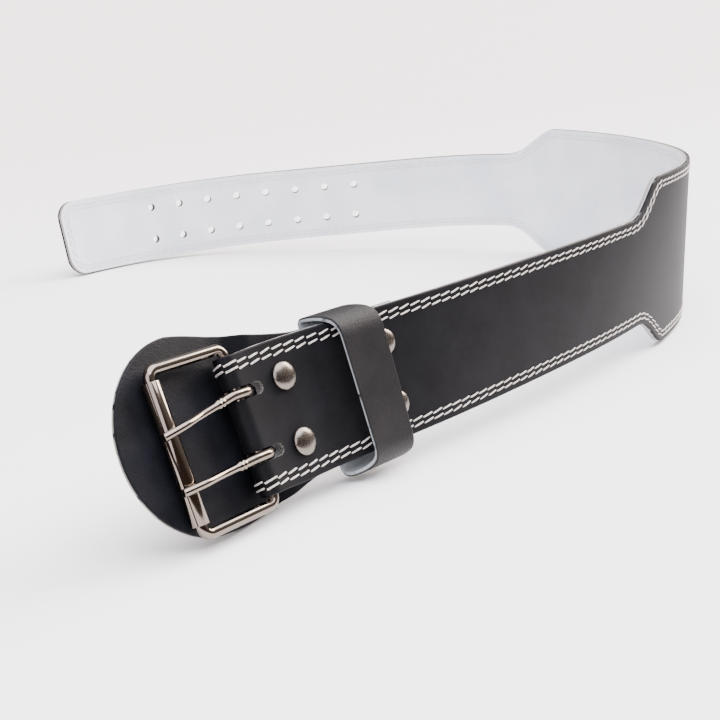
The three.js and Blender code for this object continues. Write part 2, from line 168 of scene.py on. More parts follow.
def half_width(along):
    """Half the belt's width: strap, hollow shoulders, wide back and a tip with round corners."""
    along = np.asarray(along, float)
    far_shoulder = back_middle + back_length / 2 + shoulder_length
    taper = np.clip((along - far_shoulder) / (belt_length - far_shoulder), 0, 1)
    far_half = (far_strap_width + (tip_width - far_strap_width) * taper) / 2
    narrow = np.where(along < back_middle, strap_width / 2, far_half)
    from_back = np.abs(along - back_middle) - back_length / 2
    shoulder = ease(np.clip(1 - from_back / shoulder_length, 0, 1) ** shoulder_hollow)
    half = narrow + (back_width / 2 - narrow) * shoulder
    folded = fold_narrowing * (1 - ease(along / first_rivets))
    from_tip = np.maximum(along - (belt_length - tip_corner_radius), 0)
    corner = tip_corner_radius - np.sqrt(np.maximum(tip_corner_radius**2 - from_tip**2, 0))
    return half - folded - corner


def wall_section(thickness, edge_radius, columns):
    """Round a wall once: at each point the share of the width, of the rounding and of the depth."""
    turns = [math.radians(15 + 25 * i) for i in range(4)]
    spread = [math.sin(math.pi / 2 * (2 * i / columns - 1)) for i in range(columns + 1)]
    face = [(share, 0.0, 0.0) for share in spread]
    top = [(1.0, math.sin(a), edge_radius * (1 - math.cos(a)) / thickness) for a in turns]
    low = [(1.0, e, 1 - d) for _, e, d in reversed(top)]
    half = face + top + low
    back = [(-s, e, 1 - d) for s, e, d in half]
    return np.array(half + back)


def wall(name, station, thickness, edge_radius, columns, closed=False):
    """A wall with rounded edges. station gives arrays with a row for each cross-section:
    middle and half width, the skin's two coordinates, the flesh's two, the inset of rounded ends
    and the place along the wall, with to_points to turn them into points. A wall with a round end
    adds its disc: the radius, and how far each cross-section lies beyond the disc's middle."""
    share, rounding, depth = wall_section(thickness, edge_radius, columns).T
    middle, half, inset = (station[k][:, None] for k in ("middle", "half", "inset"))
    depth = 0.5 + (depth - 0.5) * (1 - 2 * inset / thickness)
    level = edge_radius * (1 - np.abs(rounding))
    reach = half - level * (1 + inset / edge_radius)
    if "disc" in station:
        radius, beyond = station["disc"]
        disc_reach = np.sqrt(np.maximum((radius - level) ** 2 - beyond[:, None] ** 2, 0))
        reach = np.where(beyond[:, None] > 0, disc_reach, reach)
    beside = middle + share * reach
    skin, flesh = station["skin"][:, :, None], station["flesh"][:, :, None]
    first = skin[:, 0] * (1 - depth) + flesh[:, 0] * depth
    second = skin[:, 1] * (1 - depth) + flesh[:, 1] * depth
    points = station["to_points"](first, second, beside)
    count, around = beside.shape
    mesh = bpy.data.meshes.new(name)
    corner = np.arange(around)
    after = (corner + 1) % around
    rows = np.arange(count if closed else count - 1)[:, None]
    ahead = (rows + 1) % count
    quads = np.stack(
        [rows * around + corner, rows * around + after, ahead * around + after, ahead * around + corner], -1
    )
    faces = quads.reshape(-1, 4).tolist()
    if not closed:
        faces.append(list(range(around))[::-1])
        faces.append([(count - 1) * around + i for i in range(around)])
    mesh.from_pydata(points.reshape(-1, 3).tolist(), [], faces)
    uv = mesh.uv_layers.new(name="surface")
    loops = np.empty(len(mesh.loops), int)
    mesh.loops.foreach_get("vertex_index", loops)
    along = np.broadcast_to(station["place"][:, None], beside.shape)
    flat = np.stack([along, beside], -1).reshape(-1, 2) * MM
    uv.data.foreach_set("uv", flat[loops].ravel())
    cut = np.clip(np.abs(rounding) * 1.6 + np.clip(station["inset"][:, None] * 3, 0, 1), 0, 1)
    for label, values in (("cut_edge", cut), ("flesh", depth)):
        layer = mesh.attributes.new(label, "FLOAT", "POINT")
        layer.data.foreach_set("value", np.broadcast_to(values, beside.shape).ravel())
    piece = bpy.data.objects.new(name, mesh)
    bpy.context.scene.collection.objects.link(piece)
    outwards(piece)
    return piece


def outwards(piece):
    """Faces point out of the piece, and its smooth surfaces meet at clear edges."""
    shape = bmesh.new()
    shape.from_mesh(piece.data)
    bmesh.ops.recalc_face_normals(shape, faces=shape.faces)
    if shape.calc_volume(signed=True) < 0:
        bmesh.ops.reverse_faces(shape, faces=shape.faces)
    for edge in shape.edges:
        edge.smooth = len(edge.link_faces) < 2 or edge.calc_face_angle(0) < math.radians(sharp_angle)
    for face in shape.faces:
        face.smooth = True
    shape.to_mesh(piece.data)
    shape.free()


def cut_through(piece, cutters, cut_wall_material):
    """Punches the cutters out of a piece, and gives the cut walls their material, raw hide with painted
    shade.
    """
    cutters.materials.append(cut_wall_material)
    tool = bpy.data.objects.new("tool", cutters)
    bpy.context.scene.collection.objects.link(tool)
    punch = piece.modifiers.new("punch", "BOOLEAN")
    punch.operation = "DIFFERENCE"
    punch.solver = "EXACT"
    punch.material_mode = "TRANSFER"
    punch.object = tool
    evaluated = piece.evaluated_get(bpy.context.evaluated_depsgraph_get())
    punched = bpy.data.meshes.new_from_object(evaluated)
    piece.modifiers.clear()
    piece.data = punched
    bpy.data.objects.remove(tool)
    outwards(piece)


def end_turns(end, radius, direction):
    """Places and insets that round off the end of a wall."""
    turns = [math.radians(a) for a in (0, 22.5, 45, 67.5, 90)]
    return [(end - direction * radius * (1 - math.sin(a)), radius * (1 - math.cos(a))) for a in turns]


def spaced(start, end, longest):
    count = max(math.ceil((end - start) / longest), 1)
    return [start + (end - start) * i / count for i in range(count)]


def strap_places(start, end_radius):
    """Places along the strap: even steps, finer round the corners of the tip, then the rounded end."""
    corner_start = belt_length - tip_corner_radius
    turns = [math.radians(6 * i) for i in range(14)]
    places = spaced(start, corner_start, 2.2) + [
        corner_start + tip_corner_radius * math.sin(a) for a in turns
    ]
    places = [p for p in places if p < belt_length - end_radius]
    return [(p, 0.0) for p in places] + end_turns(belt_length, end_radius, 1)


def on_belt(first, second, beside):
    return belt_points(first, beside, second)


edge_rounding = 0.7


def face_swell(along):
    """How far the face stands out: a soft hollow past the rivets and a swell over the keeper's back."""
    hollow = np.exp(-(((along - 38) / 9) ** 2))
    swell = np.exp(-(((along - 62) / 12) ** 2))
    return (0.35 * swell - 0.45 * hollow) * (along > 0)


def leather_station():
    rows = []
    for place, inset in end_turns(tail_end, edge_rounding, 1)[::-1]:
        rows.append((place, place, tail_skin_depth, tail_flesh_depth, inset, -place))
    for place in spaced(0, tail_end - edge_rounding, 2.2)[::-1]:
        fold_flesh = bar_depth + fold_inner_radius
        flesh = tail_flesh_depth + (fold_flesh - tail_flesh_depth) * (1 - ease(place / lining_start))
        rows.append((place, place, flesh + leather_thickness, flesh, 0, -place))
    for turn in range(6, 180, 6):
        back, out = math.sin(math.radians(turn)), math.cos(math.radians(turn))
        skin_radius = fold_inner_radius + leather_thickness
        skin = (-back * skin_radius, bar_depth + out * skin_radius)
        flesh = (-back * fold_inner_radius, bar_depth + out * fold_inner_radius)
        rows.append((skin[0], flesh[0], skin[1], flesh[1], 0, (turn - 180) / 180 * math.pi * skin_radius))
    for place, inset in strap_places(0, edge_rounding):
        swell = float(face_swell(place))
        rows.append((place, place, -swell, leather_thickness, inset, place))
    table = np.array(rows)
    return {
        "middle": np.zeros(len(rows)),
        "half": half_width(np.maximum(table[:, 0], 0)),
        "inset": table[:, 4],
        "skin": table[:, [0, 2]],
        "flesh": table[:, [1, 3]],
        "place": table[:, 5],
        "to_points": on_belt,
    }


# Two rows of eight punched holes, the prongs' slots in the fold and the rivets' holes
hole_pitch = 25.2
hole_count = 8
hole_radius = 3
hole_row_spacing = 26.3
last_hole_from_tip = 85.2
prong_spacing = 27.9
slot_width = 5.6
slot_end = 10.5
slot_reach = 18
rivet_row_spacing = 30
rivet_pairs = (first_rivets, 82.5)
rivet_shank_radius = 2
cut_length = 6 * tail_skin_depth


def prism(outline, places):
    """One mesh of upright prisms on an outline, one at each place."""
    shape = bmesh.new()
    for place in places:
        low = [shape.verts.new(place @ Vector((x * MM, y * MM, -cut_length / 2 * MM))) for x, y in outline]
        high = [shape.verts.new(place @ Vector((x * MM, y * MM, cut_length / 2 * MM))) for x, y in outline]
        shape.faces.new(low[::-1])
        shape.faces.new(high)
        for i in range(len(outline)):
            j = (i + 1) % len(outline)
            shape.faces.new((low[i], low[j], high[j], high[i]))
    mesh = bpy.data.meshes.new("punches")
    shape.to_mesh(mesh)
    shape.free()
    return mesh


def round_outline(radius, sides=32):
    return [
        (radius * math.cos(2 * math.pi * i / sides), radius * math.sin(2 * math.pi * i / sides))
        for i in range(sides)
    ]


hole_places = [
    belt_frame(belt_length - last_hole_from_tip - i * hole_pitch, row * hole_row_spacing, bar_depth)
    for i in range(hole_count)
    for row in (-0.5, 0.5)
]
rivet_places = [(along, side * rivet_row_spacing / 2) for along in rivet_pairs for side in (1, -1)]
slot_half = slot_width / 2
slot_turns = [math.radians(-90 + 15 * i) for i in range(13)]
slot_outline = [(-slot_reach, -slot_half)]
slot_outline += [
    (slot_end - slot_half + slot_half * math.cos(a), slot_half * math.sin(a)) for a in slot_turns
]
slot_outline += [(-slot_reach, slot_half)]


def colour(code):
    """A colour in sRGB hex, as the linear values that a shader takes"""
    parts = [int(code[i:i + 2], 16) / 255 for i in (0, 2, 4)]
    return (*[p / 12.92 if p <= 0.04045 else ((p + 0.055) / 1.055) ** 2.4 for p in parts], 1)


def add_node(tree, kind, inputs=(), output=0, **settings):
    """Adds one node with its settings, and its inputs as values or as links from other nodes. Gives
    back the output that is named or numbered."""
    node = tree.nodes.new(kind)
    for key, value in settings.items():
        setattr(node, key, value)
    for key, value in dict(inputs).items():
        if isinstance(value, bpy.types.NodeSocket):
            tree.links.new(value, node.inputs[key])
        else:
            node.inputs[key].default_value = value
    return node.outputs[output] if node.outputs else None


def new_material(name):
    material = bpy.data.materials.new(name)
    material.use_nodes = True
    tree = material.node_tree
    tree.nodes.clear()
    return material, tree


def leather_material(name, grain_mm, grain_depth, skin, skin_light, roughness, shine, raw, raw_until):
    """Chrome-tanned cowhide, dyed black and lightly waxed on its grain side: nearly matt, with a soft
    sheen, fine pores and a slow cloudiness. Its cut edges are dyed on the grain's side and pale and
    fibrous next to the flesh, up to raw_until along the piece, and beyond it they are dark."""
    material, tree = new_material(name)
    surface = add_node(tree, "ShaderNodeUVMap", uv_map="surface")
    place = add_node(tree, "ShaderNodeSeparateXYZ", {"Vector": surface})
    cut = add_node(tree, "ShaderNodeAttribute", attribute_name="cut_edge", output="Fac")
    flesh = add_node(tree, "ShaderNodeAttribute", attribute_name="flesh", output="Fac")
    pebbles = add_node(
        tree, "ShaderNodeTexVoronoi", {"Vector": surface, "Scale": 1 / (grain_mm * MM)}, feature="SMOOTH_F1"
    )
    pores = add_node(
        tree, "ShaderNodeTexNoise", {"Vector": surface, "Scale": 2.4 / (grain_mm * MM), "Detail": 3.0}
    )
    cloud = add_node(
        tree, "ShaderNodeTexNoise", {"Vector": surface, "Scale": 45.0, "Detail": 4.0, "Roughness": 0.6}
    )
    fibres = add_node(tree, "ShaderNodeTexNoise", {"Vector": surface, "Scale": 900.0, "Detail": 3.0})
    patches = add_node(tree, "ShaderNodeTexNoise", {"Vector": surface, "Scale": 170.0, "Detail": 2.0})

    speckled = add_node(tree, "ShaderNodeMath", {0: cloud, 1: pores}, operation="MULTIPLY")
    share = add_node(tree, "ShaderNodeMapRange", {"Value": speckled, "From Min": 0.17, "From Max": 0.38})
    grain = add_node(
        tree,
        "ShaderNodeMix",
        {0: share, 6: colour(skin), 7: colour(skin_light)},
        data_type="RGBA",
        output=2,
    )
    fuzz = add_node(tree, "ShaderNodeMath", {0: fibres, 1: 0.5, 2: cut}, operation="MULTIPLY_ADD")
    edge = add_node(tree, "ShaderNodeMapRange", {"Value": fuzz, "From Min": 0.95, "From Max": 1.15})
    near_flesh = add_node(tree, "ShaderNodeMapRange", {"Value": flesh, "From Min": 0.25, "From Max": 0.5})
    edge = add_node(tree, "ShaderNodeMath", {0: edge, 1: near_flesh}, operation="MULTIPLY")
    nearby = add_node(
        tree,
        "ShaderNodeMapRange",
        {
            "Value": place,
            "From Min": raw_until,
            "From Max": raw_until + 0.03,
            "To Min": 1.0,
            "To Max": 0.62,
        },
    )
    bare = add_node(tree, "ShaderNodeMath", {0: nearby, 1: patches}, operation="MULTIPLY")
    bare = add_node(tree, "ShaderNodeMapRange", {"Value": bare, "From Min": 0.34, "From Max": 0.46})
    edge = add_node(tree, "ShaderNodeMath", {0: edge, 1: bare}, operation="MULTIPLY")
    inside = add_node(tree, "ShaderNodeMapRange", {"Value": flesh, "From Min": 0.8, "From Max": 0.99})
    undyed = add_node(tree, "ShaderNodeMath", {0: edge, 1: inside}, operation="MAXIMUM")
    tone = add_node(
        tree, "ShaderNodeMix", {0: undyed, 6: grain, 7: colour(raw)}, data_type="RGBA", output=2
    )
    gloss = add_node(
        tree,
        "ShaderNodeMapRange",
        {
            "Value": pores,
            "From Min": 0.3,
            "From Max": 0.7,
            "To Min": roughness - 0.06,
            "To Max": roughness + 0.08,
        },
    )
    gloss = add_node(tree, "ShaderNodeMix", {0: undyed, 2: gloss, 3: 0.95})
    fine = add_node(tree, "ShaderNodeBump", {"Height": pores, "Distance": grain_depth * MM * 0.6})
    grained = add_node(
        tree, "ShaderNodeBump", {"Height": pebbles, "Distance": grain_depth * MM, "Normal": fine}
    )
    frayed = add_node(tree, "ShaderNodeMath", {0: fibres, 1: undyed}, operation="MULTIPLY")
    rough_cut = add_node(
        tree, "ShaderNodeBump", {"Height": frayed, "Distance": 0.5 * MM, "Normal": grained}
    )
    hide = add_node(tree, "ShaderNodeBsdfPrincipled", {
        "Base Color": tone,
        "Roughness": gloss,
        "Specular IOR Level": shine,
        "Sheen Weight": 0.01,
        "Sheen Roughness": 0.5,
        "Normal": rough_cut,
    })
    add_node(tree, "ShaderNodeOutputMaterial", {"Surface": hide})
    return material


def raw_hide_material():
    """The cut walls of punched holes and slots: raw grey-brown fibre, matt and rough, painted much darker
    than the raw edges elsewhere as the shade inside the holes and slots.
    """
    material, tree = new_material("raw_cut_hide_and_painted_shade")
    position = add_node(tree, "ShaderNodeTexCoord", output="Object")
    fibres = add_node(tree, "ShaderNodeTexNoise", {"Vector": position, "Scale": 1400.0, "Detail": 3.0})
    share = add_node(tree, "ShaderNodeMapRange", {"Value": fibres, "From Min": 0.35, "From Max": 0.65})
    # Partly painted shade: raw fibre tones darkened to stand for the shade inside the holes and slots
    tone = add_node(
        tree,
        "ShaderNodeMix",
        {0: share, 6: colour("2c2927"), 7: colour("6e6a67")},
        data_type="RGBA",
        output=2,
    )
    bump = add_node(tree, "ShaderNodeBump", {"Height": fibres, "Distance": 0.3 * MM})
    fibre = add_node(
        tree, "ShaderNodeBsdfPrincipled", {"Base Color": tone, "Roughness": 0.95, "Normal": bump}
    )
    add_node(tree, "ShaderNodeOutputMaterial", {"Surface": fibre})
    return material


# The cut walls' material carries painted shade for the insides of the holes and slots
raw_hide_and_hole_shade = raw_hide_material()
strap_leather = leather_material(
    "black_waxed_cowhide", 0.55, 0.05, "060608", "101014", 0.5, 0.1, "a8a6a6", 0.05
)
leather = wall("belt_leather_strap", leather_station(), leather_thickness, edge_rounding, 26)
leather.data.materials.append(strap_leather)
slot_places = [belt_frame(0, side * prong_spacing / 2, bar_depth) for side in (1, -1)]
rivet_hole_places = [belt_frame(along, across, bar_depth) for along, across in rivet_places]
cut_through(leather, prism(round_outline(hole_radius), hole_places), raw_hide_and_hole_shade)
cut_through(leather, prism(slot_outline, slot_places), raw_hide_and_hole_shade)
cut_through(leather, prism(round_outline(rivet_shank_radius + gap, 16), rivet_hole_places), raw_hide_and_hole_shade)
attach(leather, "belt")
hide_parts("belt_leather")

# The lining
# A strap of 1.9 mm split suede, pale blue-grey, glued and sewn inside the leather from behind the
# fold to the tip, with the same holes.
lining_rounding = 0.5


def lining_station():
    table = np.array(strap_places(lining_start, lining_rounding))
    place = table[:, 0]
    return {
        "middle": np.zeros(len(place)),
        "half": half_width(place),
        "inset": table[:, 1],
        "skin": np.stack([place, np.full(len(place), lining_skin_depth)], 1),
        "flesh": np.stack([place, np.full(len(place), lining_depth)], 1),
        "place": place,
        "to_points": on_belt,
    }


def suede_material():
    """Split cowhide with both sides buffed to a short nap, in its pale tanned colour: matt and soft,
    with cloudy brushed patches. The nap is drawn at 0.8 mm so that it shows."""
    material, tree = new_material("pale_split_suede")
    surface = add_node(tree, "ShaderNodeUVMap", uv_map="surface")
    cut = add_node(tree, "ShaderNodeAttribute", attribute_name="cut_edge", output="Fac")
    nap = add_node(
        tree, "ShaderNodeTexNoise", {"Vector": surface, "Scale": 1250.0, "Detail": 4.0, "Roughness": 0.7}
    )
    brushed = add_node(tree, "ShaderNodeTexNoise", {"Vector": surface, "Scale": 28.0, "Detail": 3.0})
    share = add_node(tree, "ShaderNodeMapRange", {"Value": brushed, "From Min": 0.35, "From Max": 0.65})
    face = add_node(
        tree,
        "ShaderNodeMix",
        {0: share, 6: colour("d7dbe2"), 7: colour("e6e9ee")},
        data_type="RGBA",
        output=2,
    )
    edge = add_node(tree, "ShaderNodeMapRange", {"Value": cut, "From Min": 0.75, "From Max": 1.0})
    tone = add_node(
        tree, "ShaderNodeMix", {0: edge, 6: face, 7: colour("857c78")}, data_type="RGBA", output=2
    )
    bump = add_node(tree, "ShaderNodeBump", {"Height": nap, "Distance": 0.00012, "Strength": 0.7})
    suede = add_node(tree, "ShaderNodeBsdfPrincipled", {
        "Base Color": tone,
        "Roughness": 0.95,
        "Sheen Weight": 0.25,
        "Sheen Roughness": 0.6,
        "Normal": bump,
    })
    add_node(tree, "ShaderNodeOutputMaterial", {"Surface": suede})
    return material


lining = wall("belt_lining_suede", lining_station(), lining_thickness, lining_rounding, 20)
lining.data.materials.append(suede_material())
cut_through(lining, prism(round_outline(hole_radius), hole_places), raw_hide_and_hole_shade)
cut_through(lining, prism(round_outline(rivet_shank_radius + gap, 16), rivet_hole_places), raw_hide_and_hole_shade)
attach(lining, "belt")
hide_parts("belt_lining")

# The seams
# Two rows of heavy off-white bonded thread run round the whole strap, 3.6 and 6.4 mm from its edge. The
# lockstitch lies at a slant on both sides.
stitch_pitch = 6.82
stitch_length = 6.1
thread_radius = 0.43
seam_insets = (3.6, 6.4)
seam_start = -9.5
inner_seam_start = 100
seam_lift = 0.1


def seam_line(inset, start):
    """Places along and across the belt on a line that follows its outline round the tip."""
    corner_start = belt_length - tip_corner_radius
    turns = [math.radians(5 * i) for i in range(19)]
    along = np.array(
        spaced(start, corner_start, 1.5) + [corner_start + tip_corner_radius * math.sin(a) for a in turns]
    )
    across = half_width(np.minimum(along, belt_length))
    outline = np.stack([along, across], 1)
    lower = outline[::-1] * (1, -1)
    outline = np.concatenate([outline, lower])
    ahead = np.gradient(outline, axis=0)
    ahead /= np.linalg.norm(ahead, axis=1)[:, None]
    inwards = np.stack([ahead[:, 1], -ahead[:, 0]], 1)
    return outline + inwards * inset


def fold_place(along):
    """Along and depth of the skin where it turns round the bar, for a place before it."""
    radius = fold_inner_radius + leather_thickness
    turn = np.minimum(along, 0) / radius
    depth = np.where(along < 0, bar_depth - radius * np.cos(turn), -face_swell(along))
    return np.where(along < 0, radius * np.sin(turn), along), depth


def seam_object(name, start, depth, outside):
    """The seams' lines as a mesh of edges, each point with the direction out of the leather."""
    points, outs, edges = [], [], []
    for inset in seam_insets:
        line = seam_line(inset, start)
        along, across = line[:, 0], line[:, 1]
        index = np.minimum(np.maximum(along, 0) / line_step, len(line_point) - 1).astype(int)
        place, skin, out = along, np.full(len(along), depth), line_inward[index]
        if outside:
            place, skin = fold_place(along)
            turn = np.minimum(along, 0)[:, None] / (fold_inner_radius + leather_thickness)
            out = -line_inward[index] * np.cos(turn) + line_along[index] * np.sin(turn)
        here = belt_points(place, across, skin)
        first = len(points)
        points += (here + out * seam_lift * MM).tolist()
        outs += out.tolist()
        edges += [(first + i, first + i + 1) for i in range(len(line) - 1)]
    mesh = bpy.data.meshes.new(name)
    mesh.from_pydata(points, edges, [])
    mesh.attributes.new("out", "FLOAT_VECTOR", "POINT").data.foreach_set("vector", np.array(outs).ravel())
    seam = bpy.data.objects.new(name, mesh)
    bpy.context.scene.collection.objects.link(seam)
    return seam


def thread_material(name, code, shadow):
    """Bonded polyester thread, off-white: matt, slightly fuzzy, and darker where its plies meet, in noise
    patches of painted shade.
    """
    material, tree = new_material(name)
    position = add_node(tree, "ShaderNodeTexCoord", output="Object")
    plies = add_node(tree, "ShaderNodeTexNoise", {"Vector": position, "Scale": 1500.0, "Detail": 2.0})
    share = add_node(tree, "ShaderNodeMapRange", {"Value": plies, "From Min": 0.35, "From Max": 0.6})
    # Painted shade: the darker shadow colour stands for the shade between the plies
    tone = add_node(
        tree, "ShaderNodeMix", {0: share, 6: colour(shadow), 7: colour(code)}, data_type="RGBA", output=2
    )
    bump = add_node(tree, "ShaderNodeBump", {"Height": plies, "Distance": 0.0002, "Strength": 0.8})
    thread = add_node(tree, "ShaderNodeBsdfPrincipled", {
        "Base Color": tone,
        "Roughness": 0.8,
        "Sheen Weight": 0.3,
        "Normal": bump,
    })
    add_node(tree, "ShaderNodeOutputMaterial", {"Surface": thread})
    return material


def stitch_tree(material):
    """Geometry Nodes: a short arched thread at every pitch along the seams' lines."""
    tree = bpy.data.node_groups.new("stitches", "GeometryNodeTree")
    tree.interface.new_socket("Geometry", in_out="INPUT", socket_type="NodeSocketGeometry")
    for label in ("Pitch", "Length", "Thread radius", "Slant", "Sink"):
        tree.interface.new_socket(label, in_out="INPUT", socket_type="NodeSocketFloat")
    tree.interface.new_socket("Geometry", in_out="OUTPUT", socket_type="NodeSocketGeometry")
    given = tree.nodes.new("NodeGroupInput").outputs
    line = add_node(tree, "GeometryNodeMeshToCurve", {"Mesh": given["Geometry"]})
    stations = add_node(
        tree, "GeometryNodeResampleCurve", {"Curve": line, "Length": given["Pitch"]}, mode="LENGTH"
    )
    tangent = add_node(tree, "GeometryNodeInputTangent")
    out = add_node(
        tree,
        "GeometryNodeInputNamedAttribute",
        {"Name": "out"},
        data_type="FLOAT_VECTOR",
        output="Attribute",
    )
    facing = add_node(
        tree,
        "FunctionNodeAxesToRotation",
        {"Primary Axis": out, "Secondary Axis": tangent},
        primary_axis="Z",
        secondary_axis="X",
    )
    limits = {2: -0.05, 3: 0.05, "Seed": 7}
    wobble = add_node(tree, "FunctionNodeRandomValue", limits, data_type="FLOAT", output=1)
    slant = add_node(tree, "ShaderNodeMath", {0: given["Slant"], 1: wobble}, operation="ADD")
    turn = add_node(tree, "FunctionNodeAxisAngleToRotation", {"Axis": (0, 0, 1), "Angle": slant})
    turned = add_node(
        tree, "FunctionNodeRotateRotation", {"Rotation": facing, "Rotate By": turn}, rotation_space="LOCAL"
    )
    half = add_node(tree, "ShaderNodeMath", {0: given["Length"], 1: 0.5}, operation="MULTIPLY")
    back = add_node(tree, "ShaderNodeMath", {0: given["Length"], 1: -0.5}, operation="MULTIPLY")
    start = add_node(tree, "ShaderNodeCombineXYZ", {"X": back, "Z": given["Sink"]})
    end = add_node(tree, "ShaderNodeCombineXYZ", {"X": half, "Z": given["Sink"]})
    crown = add_node(tree, "ShaderNodeCombineXYZ", {"Z": given["Thread radius"]})
    arch = add_node(
        tree,
        "GeometryNodeCurveQuadraticBezier",
        {"Resolution": 5, "Start": start, "Middle": crown, "End": end},
    )
    section = add_node(
        tree, "GeometryNodeCurvePrimitiveCircle", {"Resolution": 6, "Radius": given["Thread radius"]}
    )
    thread = add_node(
        tree, "GeometryNodeCurveToMesh", {"Curve": arch, "Profile Curve": section, "Fill Caps": True}
    )
    smooth = add_node(tree, "GeometryNodeSetShadeSmooth", {"Geometry": thread})
    placed = add_node(
        tree, "GeometryNodeInstanceOnPoints", {"Points": stations, "Instance": smooth, "Rotation": turned}
    )
    real = add_node(tree, "GeometryNodeRealizeInstances", {"Geometry": placed})
    finished = add_node(tree, "GeometryNodeSetMaterial", {"Geometry": real, "Material": material})
    add_node(tree, "NodeGroupOutput", {"Geometry": finished})
    return tree


def grow(piece, tree, values):
    """Runs a tree of Geometry Nodes on a piece and keeps the result as its plain mesh."""
    grower = piece.modifiers.new("grow", "NODES")
    grower.node_group = tree
    sockets = {item.name: item.identifier for item in tree.interface.items_tree if item.in_out == "INPUT"}
    for label, value in values.items():
        grower[sockets[label]] = value
    evaluated = piece.evaluated_get(bpy.context.evaluated_depsgraph_get())
    grown = bpy.data.meshes.new_from_object(evaluated)
    piece.modifiers.clear()
    piece.data = grown


off_white_thread = thread_material("off_white_bonded_thread", "d6cec5", "978f88")
stitch_values = {
    "Pitch": stitch_pitch * MM,
    "Length": stitch_length * MM,
    "Thread radius": thread_radius * MM,
    "Slant": math.radians(10),
    "Sink": -0.35 * MM,
}
outer_stitches = seam_object("outer_stitches", seam_start, 0, True)
grow(outer_stitches, stitch_tree(off_white_thread), stitch_values)
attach(outer_stitches, "belt")

lining_thread = thread_material("pale_bonded_thread_inside", "dcdcde", "b4b4b8")
inner_stitches = seam_object("inner_stitches", inner_seam_start, lining_depth, False)
grow(inner_stitches, stitch_tree(lining_thread), stitch_values)
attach(inner_stitches, "belt")

# The guard
# A round-ended flap of the same cowhide behind the buckle, which keeps it off the wearer. It is
# riveted on with the folded end and lies over the keeper's back.
guard_thickness = 2.4
guard_end = 99
guard_radius = 43
guard_round_middle = -21.5
guard_rise = 3.9
guard_neck = 50
guard_ramp_length = 12
washer_radius = 4.6
pressed_margin = 1
keeper_width = 24
keeper_thickness = 2.2
keeper_rounding = 0.6
keeper_middle = 58
frame_reach = 41.5
frame_dip = 2.2
roller_radius = 4
prong_root_radius = 2.2
eye_radius = wire_radius + gap + 2 * prong_root_radius
roller_depth = bar_depth + frame_dip
keeper_low = keeper_middle - keeper_width / 2 - pressed_margin
keeper_high = keeper_middle + keeper_width / 2 + pressed_margin

# Place along the belt and depth of the guard's skin there
guard_depths = [
    (-frame_reach, roller_depth + roller_radius + gap),
    (-eye_radius, bar_depth + eye_radius + gap),
    (eye_radius, bar_depth + eye_radius + gap),
    (rivet_pairs[0] - washer_radius - pressed_margin, tail_skin_depth + gap),
    (keeper_low - guard_ramp_length, tail_skin_depth + gap),
    (keeper_low, tail_skin_depth + 2 * gap + keeper_thickness),
    (keeper_high, tail_skin_depth + 2 * gap + keeper_thickness),
    (rivet_pairs[1] - washer_radius - pressed_margin, tail_skin_depth + gap),
]


def guard_depth(along):
    """Depth of the guard's skin, eased from one place of the table to the next"""
    places, depths = (np.array(v) for v in zip(*guard_depths))
    along = np.clip(along, places[0], places[-1])
    index = np.clip(np.searchsorted(places, along, side="right") - 1, 0, len(places) - 2)
    share = ease((along - places[index]) / (places[index + 1] - places[index]))
    return depths[index] + (depths[index + 1] - depths[index]) * share


def guard_station():
    rows = []
    nose = guard_round_middle - guard_radius
    for along, inset in end_turns(nose, edge_rounding, -1)[::-1]:
        rows.append((max(along, nose + 0.01), inset))
    for turn in range(12, 90, 3):
        rows.append((guard_round_middle - math.cos(math.radians(turn)) * guard_radius, 0.0))
    rows += [(p, 0.0) for p in spaced(guard_round_middle, guard_end - edge_rounding, 2)]
    rows += end_turns(guard_end, edge_rounding, 1)
    place, inset = np.array(rows).T
    share = (place - guard_round_middle) / (guard_neck - guard_round_middle)
    neck_half = guard_radius + (strap_width / 2 - guard_radius) * ease(share)
    skin = guard_depth(place)
    return {
        "middle": guard_rise * np.clip(1 - share, 0, 1) ** 2,
        "half": neck_half,
        "disc": (guard_radius, guard_round_middle - place),
        "inset": inset,
        "skin": np.stack([place, skin], 1),
        "flesh": np.stack([place, skin + guard_thickness], 1),
        "place": place,
        "to_points": on_belt,
    }


guard = wall("buckle_guard_flap", guard_station(), guard_thickness, edge_rounding, 30)
guard_leather = leather_material(
    "black_cowhide_fine_grain", 0.6, 0.12, "06070a", "13141b", 0.46, 0.1, "8f8a83", 1.0
)
guard.data.materials.append(guard_leather)
cut_through(guard, prism(round_outline(rivet_shank_radius + gap, 16), rivet_hole_places), raw_hide_and_hole_shade)
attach(guard, "belt")
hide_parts("buckle_guard")

# The keeper
# A closed loop of pebbled cowhide round the strap between the rivets, which takes the belt's end.
# It slides, and its front has been pushed towards the back of the belt.
keeper_low_push = 12.5
keeper_room = 5.2
keeper_above = 2.6
keeper_below = 5.8
keeper_top_front_radius = 13.6
keeper_top_back_radius = 3.6
keeper_low_front_radius = 11.5
keeper_low_back_radius = 6
keeper_top_push = 9.3
keeper_back_push = 1.5


